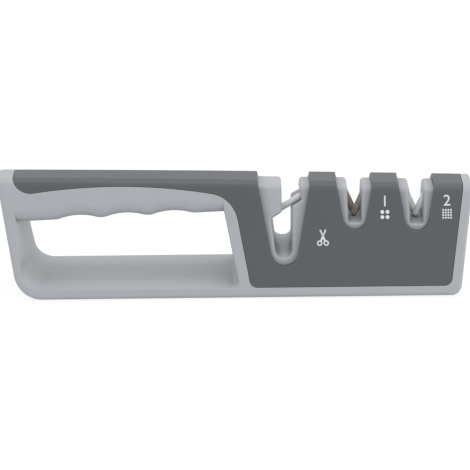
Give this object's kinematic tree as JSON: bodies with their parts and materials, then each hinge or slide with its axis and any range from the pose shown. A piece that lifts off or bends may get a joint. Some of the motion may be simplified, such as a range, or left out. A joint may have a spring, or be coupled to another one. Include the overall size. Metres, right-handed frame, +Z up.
{
  "type": "manual knife and scissors sharpener",
  "caption": "Hand-held sharpener with a loop handle, a dark cover and slots with abrasive rods for scissors, coarse and fine sharpening.",
  "frame": {"origin": "under the middle of the base, on the surface it stands on", "axes": "+X towards the slots, along the length; -Y the front, where the print is; +Z up"},
  "size_m": [0.21, 0.0486, 0.052],
  "materials": {
    "body_plastic": "satin",
    "liner_plastic": "satin",
    "cover_plastic": "satin",
    "white_ceramic": "matte",
    "abrasive": "matte",
    "screw_steel": "brushed",
    "sole_rubber": "matte"
  },
  "bodies": {
    "sharpener": {"body_frame": "body_plastic", "top_cover": "cover_plastic", "scissor_cartridge_front": "liner_plastic", "scissor_cartridge_back": "liner_plastic", "coarse_cartridge_front": "liner_plastic", "coarse_cartridge_back": "liner_plastic", "fine_cartridge_front": "liner_plastic", "fine_cartridge_back": "liner_plastic", "cartridge_screws": "screw_steel", "deck_screws": "screw_steel", "handle_sole_pad": "sole_rubber", "head_sole_pad": "sole_rubber"},
    "scissor_rod": {"scissor_rod": "white_ceramic"},
    "coarse_rod_front": {"coarse_rod_front": "abrasive"},
    "coarse_rod_back": {"coarse_rod_back": "abrasive"},
    "fine_rod_front": {"fine_rod_front": "white_ceramic"},
    "fine_rod_back": {"fine_rod_back": "white_ceramic"}
  },
  "joints": [
    {"name": "coarse_rod_front_turn", "type": "hinge", "parent": "sharpener", "child": "coarse_rod_front", "pos_m": [0.05331, -0.00175, 0.03311], "axis": [0.4067, 0, 0.9135], "continuous": true},
    {"name": "coarse_rod_back_turn", "type": "hinge", "parent": "sharpener", "child": "coarse_rod_back", "pos_m": [0.05248, 0.00175, 0.03311], "axis": [-0.4067, 0, 0.9135], "continuous": true},
    {"name": "fine_rod_front_turn", "type": "hinge", "parent": "sharpener", "child": "fine_rod_front", "pos_m": [0.08072, -0.00175, 0.0323], "axis": [0.4067, 0, 0.9135], "continuous": true},
    {"name": "fine_rod_back_turn", "type": "hinge", "parent": "sharpener", "child": "fine_rod_back", "pos_m": [0.07989, 0.00175, 0.0323], "axis": [-0.4067, 0, 0.9135], "continuous": true},
    {"name": "scissor_rod_turn", "type": "hinge", "parent": "sharpener", "child": "scissor_rod", "pos_m": [0.02501, 0, 0.03736], "axis": [0.848, 0, 0.5299], "continuous": true}
  ]
}
